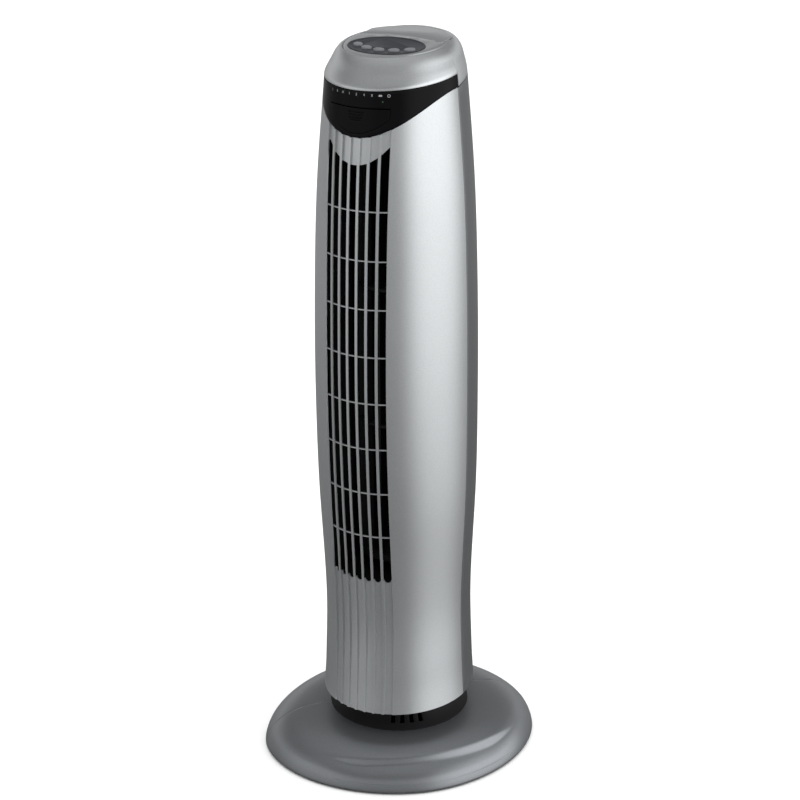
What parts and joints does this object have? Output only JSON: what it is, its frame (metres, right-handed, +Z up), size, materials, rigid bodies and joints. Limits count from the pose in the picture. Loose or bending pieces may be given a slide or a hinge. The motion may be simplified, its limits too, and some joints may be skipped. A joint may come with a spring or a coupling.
{
  "type": "tower fan",
  "caption": "Oscillating tower fan on an oval base, with a slotted silver front, a black display band, a top control panel and a docked remote control.",
  "frame": {"origin": "on the swing axis, level with the soles of the feet", "axes": "+Z up; the tower faces -Y at rest, and the base is turned 45 degrees anticlockwise seen from above"},
  "size_m": [0.2868, 0.2868, 0.8101],
  "materials": {
    "silver_paint": "satin silver paint",
    "base_paint": "satin dark silver paint",
    "rear_grey": "satin dark grey moulding",
    "gloss_black": "gloss",
    "matte_black": "matte",
    "charcoal": "fine satin",
    "button_grey": "fine satin",
    "rubber": "matte",
    "steel": "plain",
    "circuit_board": "lacquered",
    "nylon": "moulded",
    "felt": "felt"
  },
  "bodies": {
    "stand": {"base_front": "base_paint", "base_rear": "base_paint", "base_plate": "matte_black", "neck": "matte_black", "pivot_tube": "steel", "retaining_ring": "steel", "base_gear": "nylon", "cord_gland": "rubber", "foot_1": "rubber", "foot_2": "rubber", "foot_3": "rubber", "foot_4": "rubber", "base_screw_1": "steel", "base_screw_2": "steel", "base_screw_3": "steel", "base_screw_4": "steel"},
    "tower": {"front_shell": "silver_paint", "top_cap": "silver_paint", "rear_shell": "rear_grey", "display_band": "gloss_black", "chassis_plate": "matte_black", "motor_bulkhead": "matte_black", "top_bulkhead": "matte_black", "display_carrier": "matte_black", "remote_cradle": "matte_black", "scroll_wall": "matte_black", "cutoff_wall": "matte_black", "control_panel": "charcoal", "top_bearing": "rubber", "swing_motor": "steel", "fan_motor": "steel", "shell_screw_1": "steel", "shell_screw_2": "steel", "shell_screw_3": "steel", "shell_screw_4": "steel", "control_board": "circuit_board", "display_board": "circuit_board", "pivot_bush": "nylon"},
    "pinion": {"drive_pinion": "nylon", "pinion_spindle": "steel"},
    "impeller": {"impeller_blades": "matte_black", "impeller_hub": "matte_black", "impeller_end_disc": "matte_black", "motor_shaft": "steel"},
    "flap": {"front_flap": "gloss_black", "scent_pad": "felt"},
    "remote": {"remote_control": "silver_paint"},
    "button_1": {"button_1": "button_grey"},
    "button_2": {"button_2": "button_grey"},
    "button_3": {"button_3": "button_grey"},
    "button_4": {"button_4": "button_grey"},
    "button_5": {"button_5": "button_grey"}
  },
  "joints": [
    {"name": "swing", "type": "hinge", "parent": "stand", "child": "tower", "pos_m": [0, 0, 0.07], "axis": [0, 0, 1], "range_deg": [0, 90]},
    {"name": "pinion_spin", "type": "hinge", "parent": "tower", "child": "pinion", "pos_m": [-0.03507, 0.02025, 0.07], "axis": [0, 0, 1], "range_deg": [-1, 258.2]},
    {"name": "impeller_spin", "type": "hinge", "parent": "tower", "child": "impeller", "pos_m": [0, 0.006, 0.45], "axis": [0, 0, 1], "continuous": true},
    {"name": "flap_tilt", "type": "hinge", "parent": "tower", "child": "flap", "pos_m": [0, -0.0836, 0.7305], "axis": [1, 0, 0], "range_deg": [0, 25]},
    {"name": "remote_lift", "type": "slide", "parent": "tower", "child": "remote", "axis": [0, 0, 1], "range_m": [0, 0.03]},
    {"name": "button_1_press", "type": "slide", "parent": "tower", "child": "button_1", "axis": [0, 0, -1], "range_m": [0, 0.001], "stiffness_N_per_m": 300, "springref_m": -0.0005},
    {"name": "button_2_press", "type": "slide", "parent": "tower", "child": "button_2", "axis": [0, 0, -1], "range_m": [0, 0.001], "stiffness_N_per_m": 300, "springref_m": -0.0005},
    {"name": "button_3_press", "type": "slide", "parent": "tower", "child": "button_3", "axis": [0, 0, -1], "range_m": [0, 0.001], "stiffness_N_per_m": 300, "springref_m": -0.0005},
    {"name": "button_4_press", "type": "slide", "parent": "tower", "child": "button_4", "axis": [0, 0, -1], "range_m": [0, 0.001], "stiffness_N_per_m": 300, "springref_m": -0.0005},
    {"name": "button_5_press", "type": "slide", "parent": "tower", "child": "button_5", "axis": [0, 0, -1], "range_m": [0, 0.001], "stiffness_N_per_m": 300, "springref_m": -0.0005}
  ],
  "couplings": [
    {"joint": "pinion_spin", "follows": "swing", "ratio": 2.8571}
  ]
}
